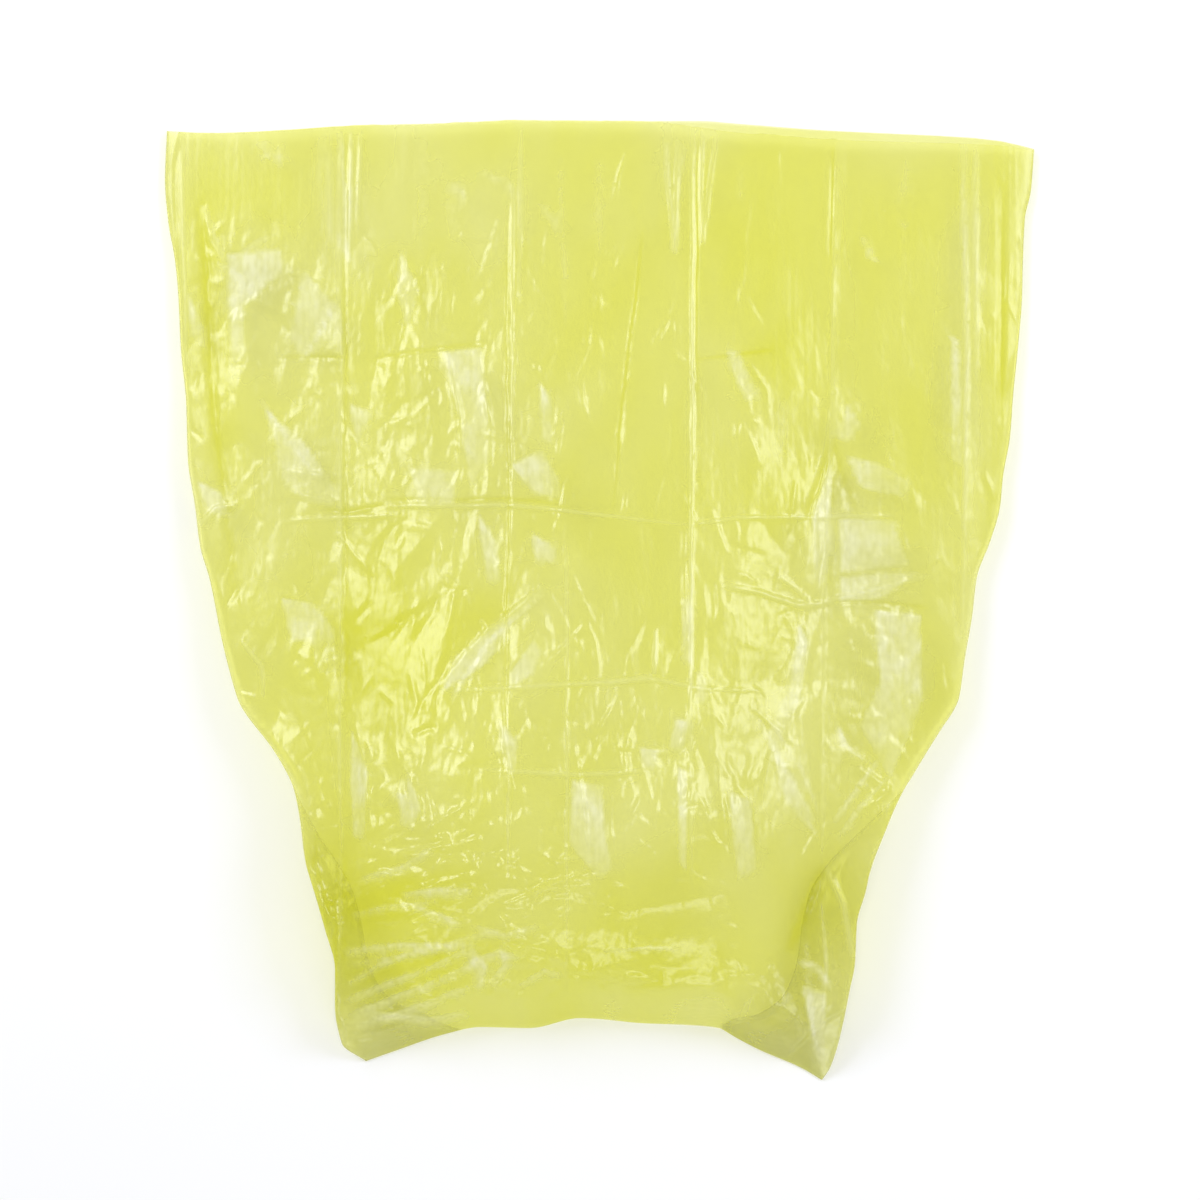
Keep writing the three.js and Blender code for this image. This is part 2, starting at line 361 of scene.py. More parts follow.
# Pleats that stand up where the photograph shows fine bright lines
PLEATS = [
    ([(288, 470), (338, 478)], 1.0, 4, 6), ([(290, 492), (338, 502)], 1.0, 4, 6),
    ([(446, 340), (462, 420), (458, 500)], 1.0, 4, 7), ([(480, 345), (492, 430), (488, 495)], 1.0, 4, 7),
    ([(356, 725), (366, 780), (372, 842)], 1.2, 4, 8), ([(412, 780), (424, 832)], 1.0, 4, 7),
    ([(502, 700), (510, 790), (506, 890)], 1.3, 3, 7), ([(574, 742), (582, 800), (588, 850)], 1.1, 4, 8),
    ([(610, 790), (614, 890)], 1.1, 3, 6), ([(722, 790), (734, 896)], 1.1, 4, 8),
    ([(800, 700), (820, 840)], 1.2, 4, 7), ([(684, 560), (686, 630)], 1.0, 4, 5),
    ([(858, 770), (891, 790)], 1.2, 5, 6), ([(891, 790), (862, 812)], 1.2, 5, 6),
    ([(388, 862), (480, 838)], 1.9, 6, 11), ([(372, 900), (470, 876)], 2.0, 6, 11),
    ([(350, 935), (450, 915), (500, 930)], 2.0, 6, 11), ([(385, 965), (475, 960)], 1.8, 5, 9),
    ([(352, 972), (400, 1000), (460, 1006)], 1.9, 6, 10),
    ([(470, 890), (520, 935), (560, 960)], 1.8, 6, 11),
    ([(345, 860), (372, 910)], 1.6, 6, 9), ([(430, 930), (456, 990)], 1.8, 6, 9),
    ([(540, 930), (580, 985)], 1.4, 6, 9), ([(640, 990), (720, 985)], 1.2, 6, 9),
    ([(760, 930), (800, 1010)], 1.5, 6, 9), ([(795, 1000), (815, 1060)], 1.3, 4, 7),
    ([(215, 690), (262, 700)], 1.0, 4, 6), ([(400, 985), (520, 1000)], 1.6, 5, 8),
    ([(350, 1010), (440, 1020)], 1.3, 4, 6), ([(345, 1035), (380, 1030), (452, 1018)], 1.2, 4, 5),
]

# Facets of the film where a pale highlight is painted into its haze, as outlines in pixels
HIGHLIGHT_PLATES = [
    [(303, 268), (342, 312), (343, 332), (300, 362), (290, 340)],
    [(399, 250), (420, 290), (407, 334), (396, 296)],
    [(264, 405), (306, 441), (338, 492), (334, 506), (304, 503), (284, 480)],
    [(228, 254), (281, 249), (286, 271), (246, 304), (243, 352), (230, 380)],
    [(442, 352), (484, 347), (492, 456), (470, 490), (460, 421)],
    [(408, 466), (457, 470), (455, 504), (421, 505)],
    [(509, 466), (539, 450), (558, 477), (562, 501), (532, 495)],
    [(537, 380), (551, 397), (553, 445), (542, 440)],
    [(186, 290), (207, 330), (208, 352), (190, 334)],
    [(349, 402), (374, 412), (356, 446)],
    [(441, 693), (454, 655), (489, 630), (515, 612), (508, 641), (480, 670)],
    [(509, 674), (534, 639), (543, 652), (534, 676), (510, 689)],
    [(281, 597), (314, 603), (335, 630), (338, 676), (318, 674), (310, 641), (291, 643)],
    [(351, 725), (369, 774), (363, 843), (351, 838)],
    [(406, 770), (421, 808), (415, 826), (404, 808)],
    [(532, 534), (557, 546), (557, 565), (535, 564)],
    [(476, 511), (496, 541), (502, 582), (488, 582), (479, 541)],
    [(498, 718), (518, 740), (515, 775), (502, 762)],
    [(571, 778), (600, 785), (613, 869), (600, 882), (570, 843)],
    [(640, 747), (663, 750), (656, 775), (643, 770)],
    [(393, 790), (415, 800), (414, 834), (402, 828)],
    [(681, 598), (692, 600), (692, 666), (680, 660)],
    [(676, 717), (691, 722), (685, 754), (670, 749)],
    [(196, 480), (222, 492), (232, 520), (208, 512)],
    [(811, 520), (835, 446), (831, 550), (820, 594), (813, 565)],
    [(838, 519), (893, 519), (909, 566), (840, 573)],
    [(840, 576), (922, 571), (882, 599), (840, 602)],
    [(845, 455), (880, 463), (912, 480), (905, 496), (860, 489)],
    [(874, 609), (921, 614), (922, 700), (891, 782), (858, 725), (880, 680)],
    [(799, 618), (810, 640), (801, 702), (779, 752), (767, 738), (789, 690)],
    [(770, 738), (791, 780), (821, 842), (784, 802)],
    [(834, 718), (851, 748), (887, 777), (838, 747)],
    [(698, 669), (709, 680), (706, 707), (696, 702)],
    [(844, 398), (860, 424), (851, 441), (837, 440)],
    [(678, 766), (689, 772), (687, 875), (678, 862)],
    [(728, 790), (752, 800), (756, 868), (738, 880)],
    [(726, 350), (742, 352), (760, 398), (744, 402)],
    [(950, 330), (960, 340), (962, 470), (951, 460)],
    [(802, 985), (828, 993), (826, 1058), (817, 1062)],
]

# Thin lines of painted highlight: pixel points, how pale, and widths to the left and right
HIGHLIGHT_STREAKS = [
    ([(343, 952), (400, 944), (478, 946)], 0.94, 2, 11),
    ([(345, 966), (420, 952), (500, 930)], 0.59, 2, 9),
    ([(346, 998), (400, 978), (470, 950)], 0.85, 2, 9),
    ([(350, 1012), (410, 990), (480, 962)], 0.77, 2, 11),
    ([(354, 1024), (420, 1004), (470, 985)], 0.68, 2, 9),
    ([(345, 985), (380, 965), (440, 940)], 0.68, 2, 7),
    ([(400, 894), (440, 889), (474, 891)], 0.94, 3, 13),
    ([(412, 906), (440, 915), (462, 926)], 0.85, 3, 9),
    ([(360, 878), (400, 868), (430, 850)], 0.68, 2, 9), ([(352, 915), (390, 905), (440, 902)], 0.59, 2, 9),
    ([(365, 1010), (430, 1018), (470, 1010)], 0.68, 2, 9),
    ([(470, 950), (486, 968), (480, 990)], 0.94, 4, 13),
    ([(460, 968), (500, 952), (520, 960)], 0.77, 3, 11),
    ([(490, 985), (505, 965), (500, 945)], 0.68, 2, 9),
    ([(470, 925), (505, 935), (540, 925)], 0.51, 2, 9), ([(520, 985), (545, 970), (565, 975)], 0.51, 2, 9),
    ([(760, 720), (790, 775), (814, 822)], 1.0, 2, 4), ([(768, 715), (802, 770), (820, 815)], 0.7, 2, 3),
    ([(833, 822), (855, 792), (878, 760)], 1.0, 2, 4), ([(838, 838), (862, 805), (888, 778)], 0.7, 2, 3),
    ([(798, 962), (815, 965), (832, 988)], 1.1, 3, 5), ([(806, 940), (811, 1000), (817, 1058)], 0.8, 2, 4),
    ([(822, 900), (826, 960), (822, 1030)], 0.6, 2, 3), ([(600, 952), (650, 948), (690, 950)], 0.5, 2, 3),
    ([(342, 132), (345, 200), (346, 262)], 1.0, 3, 3), ([(352, 134), (350, 240)], 0.8, 2, 3),
    ([(338, 236), (346, 246), (352, 262)], 1.2, 4, 5), ([(322, 134), (327, 190), (330, 240)], 0.5, 2, 2),
    ([(208, 205), (216, 235), (228, 262)], 0.7, 2, 4), ([(212, 262), (232, 268), (262, 300)], 0.8, 2, 4),
    ([(300, 362), (322, 330), (338, 300)], 0.9, 2, 4), ([(262, 398), (290, 440), (318, 476)], 0.7, 2, 4),
    ([(696, 128), (694, 260), (693, 420)], 0.6, 2, 2), ([(666, 142), (672, 200), (675, 252)], 0.6, 2, 2),
    ([(684, 142), (679, 200), (675, 252)], 0.6, 2, 2), ([(704, 132), (700, 190), (703, 240)], 0.5, 2, 2),
    ([(963, 140), (968, 350), (964, 520)], 0.7, 2, 3), ([(976, 150), (977, 360)], 0.5, 2, 2),
    ([(692, 560), (692, 700)], 0.8, 2, 4), ([(507, 700), (508, 890)], 0.6, 2, 2),
    ([(450, 700), (490, 640), (545, 592)], 0.9, 3, 5), ([(656, 630), (654, 676)], 0.7, 2, 3),
    ([(258, 142), (275, 156), (296, 164)], 0.7, 2, 5), ([(250, 158), (290, 152)], 0.5, 2, 3),
    ([(448, 186), (460, 190), (466, 204)], 0.8, 3, 5), ([(455, 190), (452, 215), (456, 240)], 0.5, 2, 3),
    ([(480, 172), (505, 182), (522, 200)], 0.5, 2, 5), ([(270, 238), (255, 246), (242, 256)], 0.6, 2, 4),
    ([(540, 205), (556, 222), (562, 240)], 0.5, 2, 5), ([(860, 232), (872, 258), (880, 262)], 0.6, 2, 4),
    ([(740, 150), (742, 200)], 0.4, 2, 3), ([(600, 150), (598, 260)], 0.35, 2, 3),
    ([(420, 140), (424, 230)], 0.35, 2, 3), ([(905, 150), (908, 300)], 0.35, 2, 3),
    ([(780, 345), (782, 500)], 0.35, 2, 3), ([(560, 150), (566, 330)], 0.3, 2, 3),
]

# Broad soft areas of painted highlight and painted shade: pixel, half-widths, turn in degrees, and how
# pale, above 0, or deep, below 0, it looks
PAINTED_LIGHT_PATCHES = [
    (375, 650, 48, 95, 15, -1.0), (212, 340, 16, 150, -4, -0.9), (460, 640, 60, 40, -40, -0.5),
    (600, 330, 60, 120, 5, -0.3), (770, 300, 60, 90, 0, -0.5), (430, 200, 80, 50, 0, 0.3),
    (400, 900, 70, 22, -12, -1.1), (440, 960, 80, 20, -8, -0.8), (520, 950, 50, 50, 0, 0.6),
    (640, 960, 70, 24, 0, -0.6), (700, 1000, 60, 20, 0, 0.4), (820, 930, 30, 80, 15, -0.9),
    (560, 800, 60, 70, 0, 0.4), (740, 830, 50, 70, 0, 0.3), (800, 690, 22, 110, 8, 0.9),
    (870, 560, 45, 60, 0, 0.6), (270, 320, 50, 90, 20, 0.6), (480, 440, 90, 70, 0, 0.6),
    (650, 790, 40, 50, 0, 0.5), (260, 560, 40, 40, 0, 0.2), (900, 260, 50, 110, 0, -0.3),
    (180, 200, 12, 80, 0, 0.6), (970, 350, 9, 200, 0, 0.7), (1002, 320, 10, 120, 0, -0.7),
    (330, 830, 26, 60, 0, -0.6), (700, 620, 60, 90, 0, -0.2), (540, 640, 34, 60, 40, 0.9),
    (560, 980, 160, 60, 0, -0.9), (600, 900, 160, 40, 0, -0.4), (380, 930, 60, 90, 0, -0.6),
    (350, 1040, 40, 30, 0, 0.8), (835, 1000, 24, 90, 0, 0.9), (800, 1050, 60, 30, 0, 0.4),
]


def smooth_height(x, y):
    """Height in millimetres of the front of the bag over a pixel, before it is creased."""
    mouth_y, seal_y = curve(MOUTH)(x), curve(SEAL)(x)
    v = np.clip((y - mouth_y) / (seal_y - mouth_y), 0, 1)
    left_edge, right_edge, crown = edge_heights(v)
    left_x, right_x = down(LEFT_FOLD, v)[0], down(RIGHT_FOLD, v)[0]
    left_out, right_out = down(LEFT_OUTLINE, v)[0], down(RIGHT_OUTLINE, v)[0]
    u = (x - left_x) / (right_x - left_x)
    held = np.clip(u, 0, 1)
    over = mix(left_edge, right_edge, held) + crown * crown_share(held)
    beside_left = np.clip((left_x - x) / np.maximum(left_x - left_out, 8), 0, 1)
    beside_right = np.clip((x - right_x) / np.maximum(right_out - right_x, 8), 0, 1)
    over = np.where(u < 0, left_edge * (1 - (1 - fold_share(v)) * beside_left**1.6), over)
    return np.where(u > 1, right_edge * (1 - (1 - fold_share(v)) * beside_right**1.6), over)


def fold_share(v):
    """Height of a gusset's middle fold as a share of the panel edge's height."""
    return mix(0.12, 0.5, np.clip(v / 0.8, 0, 1) ** 1.5)


def strengths():
    """Fields of how crumpled the film is: over its front, in its lower left corner, and by the seal."""
    middle = sum(strength * patch(*place) for *place, strength in CRUMPLED_PATCHES)
    calm = sum(strength * patch(*place) for *place, strength in CALM_PATCHES)
    below_mouth = np.clip((GRID_Y - 140) / 130, 0.25, 1)
    front = np.clip(0.12 + 0.62 * middle - 0.4 * calm, 0.08, 0.8) * below_mouth
    corner = np.clip(1.7 * patch(*CORNER_PATCH), 0, 1)
    seal_side = np.clip(1.5 * patch(*SEAL_PATCH), 0, 1)
    return front, corner, seal_side


def warped(field):
    """The field with its straight lines made a little unsteady."""
    sway, quiver = 1.6, 0.3
    x = GRID_X + sway * smooth_noise(*SWAY_X) + quiver * smooth_noise(*QUIVER_X)
    y = GRID_Y + sway * smooth_noise(*SWAY_Y) + quiver * smooth_noise(*QUIVER_Y)
    return sampled(field, x, y)


def scatter(field, chance, count, seed, angle, spread, lengths, height):
    """Adds short fine ridges and grooves where chance is high, leaning about an angle in degrees."""
    rng = np.random.default_rng(seed)
    placed = 0
    while placed < count:
        x, y = rng.uniform(170, 1030), rng.uniform(135, 1060)
        if rng.random() > sampled(chance, np.array(x), np.array(y)):
            continue
        lean = math.radians(rng.normal(angle, spread))
        bend = rng.normal(0, 0.12)
        half = rng.uniform(*lengths) / 2
        dx, dy = half * math.cos(lean), half * math.sin(lean)
        points = [(x - dx, y - dy), (x - bend * dy, y + bend * dx), (x + dx, y + dy)]
        lift = height * rng.uniform(0.4, 1.3) * rng.choice([1, 1, -1])
        stroke(field, points, lift, rng.uniform(2, 5), rng.uniform(2, 8))
        placed += 1


def painted_highlight_plates():
    """How strongly a highlight is painted on each pixel of its facet, the most beside the facet's first
    corner.
    """
    field = np.zeros((SIDE, SIDE))
    for outline in HIGHLIGHT_PLATES:
        corners = np.array(outline, float)
        lo = (corners.min(0) / SAMPLE).astype(int)
        hi = (corners.max(0) / SAMPLE).astype(int) + 1
        window = (slice(lo[1], hi[1] + 1), slice(lo[0], hi[0] + 1))
        gx, gy = GRID_X[window], GRID_Y[window]
        inside = np.zeros(gx.shape, bool)
        nearest = np.full(gx.shape, 1e9)
        for (x0, y0), (x1, y1) in zip(corners, np.roll(corners, -1, 0)):
            dx, dy = x1 - x0, y1 - y0
            t = np.clip(((gx - x0) * dx + (gy - y0) * dy) / (dx * dx + dy * dy), 0, 1)
            nearest = np.minimum(nearest, np.hypot(gx - x0 - t * dx, gy - y0 - t * dy))
            if dy:
                inside ^= ((gy < y0) != (gy < y1)) & (gx < x0 + (gy - y0) * dx / dy)
        farthest = np.hypot(*(corners - corners[0]).T).max()
        away = np.hypot(gx - corners[0, 0], gy - corners[0, 1]) / farthest
        pale = np.clip(nearest / 2, 0, 1) * inside * (1.15 - 0.8 * np.clip(away, 0, 1))
        field[window] = np.maximum(field[window], pale)
    return warped(field)


def painted_highlight_streaks():
    """How strongly a highlight is painted along thin lines."""
    field = np.zeros((SIDE, SIDE))
    for points, strength, left, right in HIGHLIGHT_STREAKS:
        stroke(field, points, strength, left, right)
    return warped(field)


def crumple():
    """Millimetres that creases and crumples lift the front of the film."""
    slim = facets(*SLIM_FACETS)
    broad = facets(*BROAD_FACETS)
    fine = facets(*FINE_FACETS)
    finest = facets(*FINEST_FACETS)
    slanted = facets(*SLANTED_FACETS)
    slanted_fine = facets(*SLANTED_FINE_FACETS)
    seal_facets = facets(*SEAL_FACETS)
    front, corner, seal_side = strengths()
    flattened = facets(*FLAT_FACETS, smooth_height) - smooth_height(GRID_X, GRID_Y)
    field = 0.9 * flattened
    field += 1.5 * broad * (0.25 + 0.75 * front)
    field += 2.3 * slim * front * (1 - 0.6 * corner)
    field += 0.75 * fine * np.clip(front + corner, 0, 1.2)
    field += 0.14 * finest * np.clip(front + corner + 0.5 * seal_side, 0, 1.2)
    field += (3.6 * slanted + 1.7 * slanted_fine) * np.clip(corner + 0.2 * seal_side, 0, 1)
    field += 1.2 * seal_facets * seal_side
    # The crumples are flattened under the facets where a highlight is painted
    field *= 1 - 0.6 * softened(painted_highlight_plates(), 8)
    for points, height, left, right in CREASES:
        stroke(field, points, 1.4 * height, left, right)
    for points, height, left, right in PLEATS:
        stroke(field, points, 1.25 * height, left, right)
    scatter(field, front, *FRONT_RIDGES)
    scatter(field, front + 0.05, *CROSS_RIDGES)
    scatter(field, corner + 0.15 * seal_side, *CORNER_RIDGES)
    scatter(field, seal_side, *SEAL_RIDGES)
    scatter(field, np.ones_like(front), *LONG_RIDGES)
    return MOST_RELIEF * np.tanh(warped(field) / MOST_RELIEF)


def painted_crease_shading():
    """Painted highlight along raised creases, above 0, and painted shade along sunken ones, below 0."""
    field = np.zeros((SIDE, SIDE))
    for points, height, left, right in CREASES:
        stroke(field, points, math.copysign(1.0, height), left, right)
    return warped(np.clip(field, -1, 1))


def painted_light_and_tint():
    """Painted highlight, above 0, and painted shade, below 0, over broad soft areas, with random variation
    in the film's tint.
    """
    field = np.zeros((SIDE, SIDE))
    for x, y, wide, tall, turn, strength in PAINTED_LIGHT_PATCHES:
        field += strength * patch(x, y, wide, tall, turn)
    field += 0.35 * smooth_noise(*TONE_HILLS)
    return field + 0.4 * facets(*TONE_FACETS) + 0.2 * facets(*TONE_FINE_FACETS)


def crown_share(u):
    """The panel's rounding across, 0 at its edges and 1 in the middle, with a flat top."""
    return 1 - np.abs(2 * u - 1) ** 3.6


def panel_plan(v, u):
    """Pixel x and y of the front panel at shares down it and across it."""
    left_x, left_y = down(LEFT_FOLD, v)
    right_x, right_y = down(RIGHT_FOLD, v)
    x = mix(left_x, right_x, u)
    mouth, seal = curve(MOUTH), curve(SEAL)
    chord = mix(LEFT_FOLD[0][1], RIGHT_FOLD[0][1], u)
    bow_at_mouth = mouth(mix(LEFT_FOLD[0][0], RIGHT_FOLD[0][0], u)) - chord
    seal_chord = mix(LEFT_FOLD[-1][1], RIGHT_FOLD[-1][1], u)
    bow_at_seal = seal(mix(LEFT_FOLD[-1][0], RIGHT_FOLD[-1][0], u)) - seal_chord
    y = mix(left_y, right_y, u) + (1 - v) ** 2 * bow_at_mouth + v**3 * bow_at_seal
    return x, y


def heights(v, full):
    slack = mix(MOUTH_GAPE, SEAL_LIFT, v)
    return slack + curve(RISE)(v) * (full - slack)


def edge_heights(v):
    """Heights of the front panel's two folds and of its crown between them."""
    left = heights(v, LEFT_EDGE_HEIGHT)
    right = heights(v, RIGHT_EDGE_HEIGHT)
    crown = heights(v, PUFF_HEIGHT) - (left + right) / 2
    return left, right, crown


def gusset_plan(v, t, gusset):
    """Pixel x and y of a gusset half, from the panel's fold, t 0, to the gusset's middle fold, 1."""
    side = gusset["side"]
    fold_x, fold_y = down(gusset["fold"], v)
    out_x, out_y = down(gusset["outline"], v)
    depth = curve(gusset["tuck"])(out_y) * (out_y > gusset["tuck"][0][0])
    tucked = np.clip((out_y - gusset["tuck"][0][0] + TUCK_EASE) / (2 * TUCK_EASE), 0, 1)
    tucked = tucked**2 * (3 - 2 * tucked)
    reach = side * (out_x - fold_x)
    lean = reach * (1 - tucked) - depth
    steps = np.linspace(0.02, 0.98, 25)[:, None, None]
    bulge = ((reach - steps * lean) / (np.sin(np.pi * steps) * (1 - 0.5 * steps))).min(0)
    x = fold_x + side * (t * lean + bulge * np.sin(np.pi * t) * (1 - 0.5 * t))
    y = mix(fold_y, out_y, t)
    y = y + (1 - v) ** 2 * (curve(MOUTH)(x) - mix(gusset["fold"][0][1], gusset["outline"][0][1], t))
    return x, y + v**3 * (curve(SEAL)(x) - gusset["fold"][-1][1])


def strip(v, shares):
    """Rows of v against columns of shares."""
    return np.meshgrid(v, shares, indexing="ij")


def graded(start, end, step, fine_step, spans):
    """Places from start to end, a step apart, and a fine step apart inside the spans."""
    places = [start]
    while places[-1] < end - fine_step / 2:
        here = places[-1]
        fine = any(low <= here + step / 2 <= high for low, high in spans)
        places.append(min(here + (fine_step if fine else step), end))
    return (np.array(places) - start) / (end - start)


def film_points():
    """The tube's rings of points from mouth to seal, as pixel x, pixel y and height in millimetres."""
    v = graded(LEFT_FOLD[0][1], SEAL_ROW, ROW_STEP, FINE_ROW_STEP, FINE_ROWS)
    across = graded(LEFT_FOLD[0][0], RIGHT_FOLD[0][0], PANEL_STEP, FINE_PANEL_STEP, FINE_COLUMNS)[:-1]
    crumples = crumple()
    hidden = softened(1.2 * facets(*BACK_FACETS) + 0.5 * facets(*BACK_FINE_FACETS), 1)
    left_edge, right_edge, crown = (h[:, None] for h in edge_heights(v))
    low_share = fold_share(v)[:, None]
    dip = curve(FRONT_DIP)

    def relief(rows, x, y):
        return np.clip((1 - rows) * 30, 0, 1) * sampled(crumples, x, y)

    rows, u = strip(v, across)
    x, y = panel_plan(rows, u)
    z = mix(left_edge, right_edge, u) + crown * crown_share(u) + relief(rows, x, y)
    ragged = sampled(smooth_noise(*RAGGED_HILLS) + 0.5 * smooth_noise(*RAGGED_FINE_HILLS), x, y)
    columns = [np.stack([x, y + (1 - rows) ** 6 * (dip(x) + ragged), z], -1)]
    halves = []
    for gusset, edge in ((RIGHT_GUSSET, right_edge), (LEFT_GUSSET, left_edge)):
        rows, t = strip(v, np.linspace(0, 1, UPPER_STEPS + 1))
        x, y = gusset_plan(rows, t, gusset)
        z = mix(edge, edge * low_share, t**1.6) + np.clip((1 - t) * 6, 0, 1) * relief(rows, x, y)
        halves.append(np.stack([x, y + (1 - rows) ** 6 * dip(x) * (1 - t), z], -1))
        rows, t = strip(v, np.linspace(0, 1, LOWER_STEPS + 1))
        x, y = gusset_plan(rows, t, gusset)
        halves.append(np.stack([x, y, mix(FLOOR_CLEAR, edge * low_share, t**2.2)], -1))
    right_upper, right_lower, left_upper, left_lower = halves
    columns += [right_upper[:, :-1], right_lower[:, :0:-1]]
    rows, u = strip(v, 1 - np.arange(BACK_STEPS) / BACK_STEPS)
    x, y = panel_plan(rows, u)
    wrinkle = np.clip((1 - rows) * 30, 0, 1) * (1.7 + sampled(hidden, x, y))
    columns.append(np.stack([x, y, FLOOR_CLEAR + wrinkle * 4 * u * (1 - u)], -1))
    columns += [left_lower[:, :-1], left_upper[:, :0:-1]]
    points = np.concatenate(columns, 1)
    points[..., 2] = np.maximum(points[..., 2], FLOOR_CLEAR)
    return points


def to_metres(points):
    """Metres in the CAD frame: a raised point is drawn in from the pixel where the camera sees it."""
    z = points[..., 2] / 1000
    scale = PIXEL * (1 - z / CAMERA_HEIGHT)
    x = (points[..., 0] - PHOTO / 2) * scale
    y = (PHOTO / 2 - points[..., 1]) * scale
    return np.stack([x, y, z], -1)


def ring_faces(rings, count):
    """Quads between rings of points, each ring closed on itself."""
    here = np.arange(rings - 1)[:, None] * count + np.arange(count)[None, :]
    turned = np.arange(rings - 1)[:, None] * count + (np.arange(count)[None, :] + 1) % count
    return np.stack([here, here + count, turned + count, turned], -1).reshape(-1, 4)


def add_field(obj, name, points, field):
    """Stores a field on the mesh as a number for each of its points."""
    values = sampled(field, points[..., 0], points[..., 1]).reshape(-1)
    layer = obj.data.attributes.new(name, "FLOAT", "POINT")
    layer.data.foreach_set("value", values.astype(np.float32))


def mesh_object(name, corners, faces):
    mesh = bpy.data.meshes.new(name)
    mesh.from_pydata(corners.reshape(-1, 3).tolist(), [], faces.tolist())
    mesh.polygons.foreach_set("use_smooth", np.ones(len(mesh.polygons), bool))
    mesh.update()
    obj = bpy.data.objects.new(name, mesh)
    bpy.context.scene.collection.objects.link(obj)
    return obj


def new_material(name):
    material = bpy.data.materials.new(name)
    material.use_nodes = True
    nodes, links = material.node_tree.nodes, material.node_tree.links
    nodes.clear()
    return material, nodes, links


# The film's colours: light that passes deep and pale film, light that its haze scatters, and the paler
# haze of painted highlights
DEEP_TINT = (0.924, 0.925, 0.42, 1)
PALE_TINT = (0.942, 0.94, 0.66, 1)
HAZE_COLOUR = (0.95, 0.955, 0.6, 1)
PAINTED_HIGHLIGHT_COLOUR = (0.97, 0.97, 0.8, 1)

# The share of haze in the film, and what its painted light and random tint, its painted crease light and
# shade, and its painted highlights add to that share
HAZE = 0.17
HAZE_BY_LIGHT_AND_TINT = 0.09
HAZE_BY_CREASE_SHADING = 0.16
HAZE_BY_PAINTED_HIGHLIGHT = 0.5

# The film's grain and drawn lines, to a metre, and the depth in metres of the bump that they make
GRAIN_SCALE = 300.0
LINE_SCALE = 420.0
BUMP_DEPTH = 0.00035
ROUGHNESS = 0.28
GLOSS_FACING, GLOSS_GRAZING = 0.04, 0.125


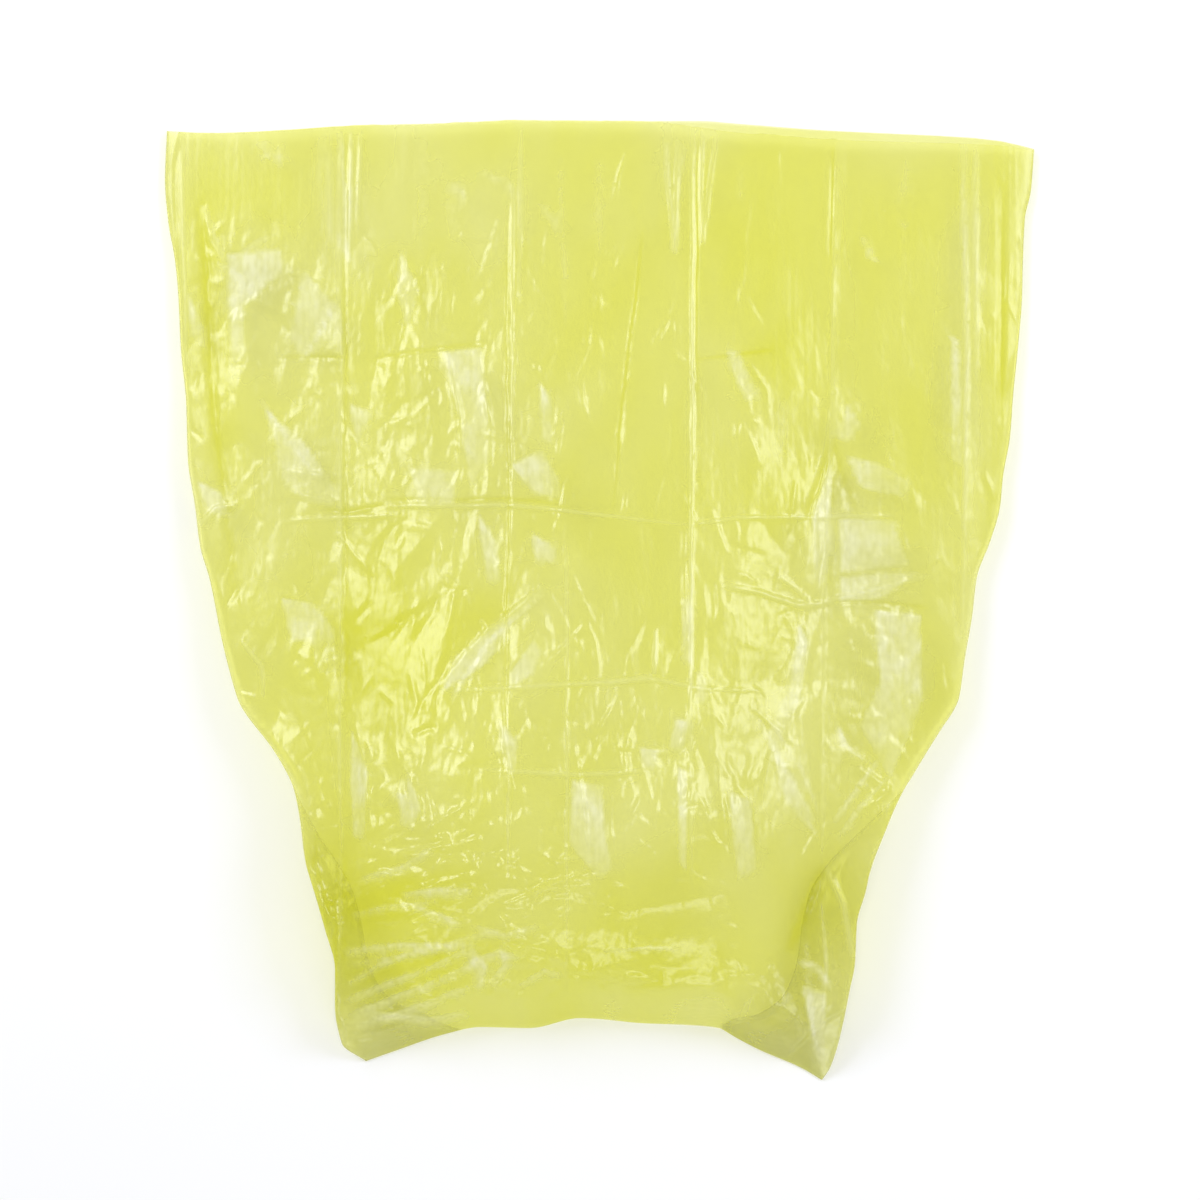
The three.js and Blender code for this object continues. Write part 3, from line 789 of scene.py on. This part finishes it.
def film_material():
    """Thin tinted film: light passes it with a tint, a little is scattered, and its face is glossy;
    painted highlights and shade raise and lower the scattered share and shift the tint.
    """
    material, nodes, links = new_material("film")

    def add(kind, values=None, **settings):
        node = nodes.new("ShaderNode" + kind)
        for key, value in settings.items():
            setattr(node, key, value)
        for key, value in (values or {}).items():
            if isinstance(value, bpy.types.NodeSocket):
                links.new(value, node.inputs[key])
            else:
                node.inputs[key].default_value = value
        return node.outputs[0]

    def attribute(name):
        node = nodes.new("ShaderNodeAttribute")
        node.attribute_name = name
        return node.outputs["Fac"]

    def blend(share, low, high):
        node = nodes.new("ShaderNodeMix")
        node.data_type = "RGBA"
        links.new(share, node.inputs["Factor"])
        node.inputs[6].default_value = low
        node.inputs[7].default_value = high
        return node.outputs[2]

    place = nodes.new("ShaderNodeTexCoord").outputs["Object"]
    crumpled = attribute("crumpled")
    crease_shading = attribute("crease_shading")
    light_and_tint = attribute("painted_light_and_tint")
    painted_highlight = attribute("painted_highlight")

    # Painted highlight and shade over broad areas raise and lower the haze share
    share = add("Math", {0: light_and_tint, 1: HAZE_BY_LIGHT_AND_TINT, 2: HAZE}, operation="MULTIPLY_ADD")
    # Painted highlight along raised creases and painted shade along sunken ones
    share = add("Math", {0: crease_shading, 1: HAZE_BY_CREASE_SHADING, 2: share}, operation="MULTIPLY_ADD")
    stretched = add("Mapping", {"Vector": place, "Scale": (1.0, 0.55, 1.0)})
    drawn = add("Mapping", {"Vector": place, "Scale": (1.0, 0.05, 1.0)})
    striation = add("TexNoise", {"Vector": drawn, "Scale": LINE_SCALE, "Detail": 0.0})
    grain = add("TexNoise", {"Vector": stretched, "Scale": GRAIN_SCALE, "Detail": 0.0})
    # Painted highlights on facets and along thin lines, with a grain, raise the haze share
    painted_highlight_grain = add("Math", {0: striation, 1: 0.55, 2: grain}, operation="MULTIPLY_ADD")
    painted_highlight_grain = add("Math", {0: painted_highlight_grain, 1: painted_highlight}, operation="MULTIPLY")
    share = add("Math", {0: painted_highlight_grain, 1: HAZE_BY_PAINTED_HIGHLIGHT, 2: share}, operation="MULTIPLY_ADD")
    share = add("Clamp", {"Value": share, "Min": 0.02, "Max": 0.7})
    # Painted highlight and shade also shift the tint between deep and pale
    pale = add("Math", {0: light_and_tint, 1: 0.4, 2: 0.5}, operation="MULTIPLY_ADD", use_clamp=True)
    clear = add("BsdfTransparent", {"Color": blend(pale, DEEP_TINT, PALE_TINT)})
    # Painted highlights make the haze colour paler
    haze_and_highlight_colour = blend(painted_highlight, HAZE_COLOUR, PAINTED_HIGHLIGHT_COLOUR)
    through = add("BsdfTranslucent", {"Color": haze_and_highlight_colour})
    back = add("BsdfDiffuse", {"Color": haze_and_highlight_colour})
    haze = add("MixShader", {0: 0.6, 1: through, 2: back})
    body = add("MixShader", {0: share, 1: clear, 2: haze})

    crinkled = add("Math", {0: grain, 1: crumpled}, operation="MULTIPLY")
    surface = add("Math", {0: striation, 1: 0.3, 2: crinkled}, operation="MULTIPLY_ADD")
    normal = add("Bump", {"Strength": 1.0, "Distance": BUMP_DEPTH, "Height": surface})

    graze = nodes.new("ShaderNodeLayerWeight")
    graze.inputs["Blend"].default_value = 0.5
    links.new(normal, graze.inputs["Normal"])
    facing = {"Value": graze.outputs["Facing"], "From Min": 0.2, "From Max": 1.0}
    gloss = add("MapRange", {**facing, "To Min": GLOSS_FACING, "To Max": GLOSS_GRAZING})
    shine = add("BsdfAnisotropic", {"Color": (1, 1, 1, 1), "Roughness": ROUGHNESS, "Normal": normal})
    face = add("MixShader", {0: gloss, 1: body, 2: shine})
    out = nodes.new("ShaderNodeOutputMaterial")
    links.new(face, out.inputs["Surface"])
    return material


def floor_material():
    material, nodes, links = new_material("floor")
    out = nodes.new("ShaderNodeOutputMaterial")
    matte = nodes.new("ShaderNodeBsdfDiffuse")
    matte.inputs["Color"].default_value = FLOOR_COLOUR
    links.new(matte.outputs[0], out.inputs["Surface"])
    return material


def thin_out(obj):
    """Drops points where the film is flat, so that the rest follow its creases."""
    modifier = obj.modifiers.new("thin out", "DECIMATE")
    modifier.ratio = MOST_TRIANGLES / (2 * len(obj.data.polygons))
    graph = bpy.context.evaluated_depsgraph_get()
    thinned = obj.evaluated_get(graph)
    mesh = bpy.data.meshes.new_from_object(thinned, preserve_all_data_layers=True, depsgraph=graph)
    obj.modifiers.clear()
    obj.data = mesh
    mesh.polygons.foreach_set("use_smooth", np.ones(len(mesh.polygons), bool))
    mesh.update()


def build_film():
    points = film_points()
    film = mesh_object("film_bag", to_metres(points), ring_faces(*points.shape[:2]))
    front, corner, seal_side = strengths()
    add_field(film, "crumpled", points, np.clip(0.25 + front + corner + 0.6 * seal_side, 0, 1.3))
    # Painted light and shade go on the mesh as fields: along creases, over broad areas, and on facets and
    # thin lines
    add_field(film, "crease_shading", points, painted_crease_shading())
    add_field(film, "painted_light_and_tint", points, painted_light_and_tint())
    # Painted highlights on facets and along thin lines
    painted_highlight = painted_highlight_plates() * (0.85 + 0.4 * smooth_noise(*HIGHLIGHT_HILLS)) + painted_highlight_streaks()
    add_field(film, "painted_highlight", points, np.clip(painted_highlight, 0, 1.4))
    thin_out(film)
    film.data.materials.append(film_material())
    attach(film, "root")
    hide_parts("liner_film")


def build_floor():
    corners = FLOOR_HALF * np.array([(-1, -1, 0), (1, -1, 0), (1, 1, 0), (-1, 1, 0)])
    floor = mesh_object("floor", corners, np.array([[0, 1, 2, 3]]))
    floor.data.materials.append(floor_material())


def add_softbox(name, location, width, height, watts):
    light = bpy.data.lights.new(name, "AREA")
    light.shape = "RECTANGLE"
    light.size = width
    light.size_y = height
    light.energy = watts
    light.color = LIGHT_COLOUR
    obj = bpy.data.objects.new(name, light)
    obj.location = location
    obj.rotation_euler = (-obj.location).to_track_quat("-Z", "Y").to_euler()
    bpy.context.scene.collection.objects.link(obj)


def build_studio():
    for light in LIGHTS:
        add_softbox(*light)
    world = bpy.data.worlds.new("studio")
    world.use_nodes = True
    sky = world.node_tree.nodes["Background"]
    sky.inputs["Color"].default_value = (1, 1, 1, 1)
    sky.inputs["Strength"].default_value = SKY_STRENGTH
    bpy.context.scene.world = world
    camera = bpy.data.cameras.new("camera")
    camera.sensor_width = SENSOR
    camera.lens = SENSOR * CAMERA_HEIGHT / (PHOTO * PIXEL)
    eye = bpy.data.objects.new("camera", camera)
    eye.location = (0, 0, CAMERA_HEIGHT)
    bpy.context.scene.collection.objects.link(eye)
    bpy.context.scene.camera = eye
    bpy.context.scene.view_settings.view_transform = "Standard"
    cycles = bpy.context.scene.cycles
    cycles.transparent_max_bounces = 24
    cycles.max_bounces = 4
    cycles.diffuse_bounces = 2
    cycles.glossy_bounces = 1


build_studio()
build_floor()
build_film()
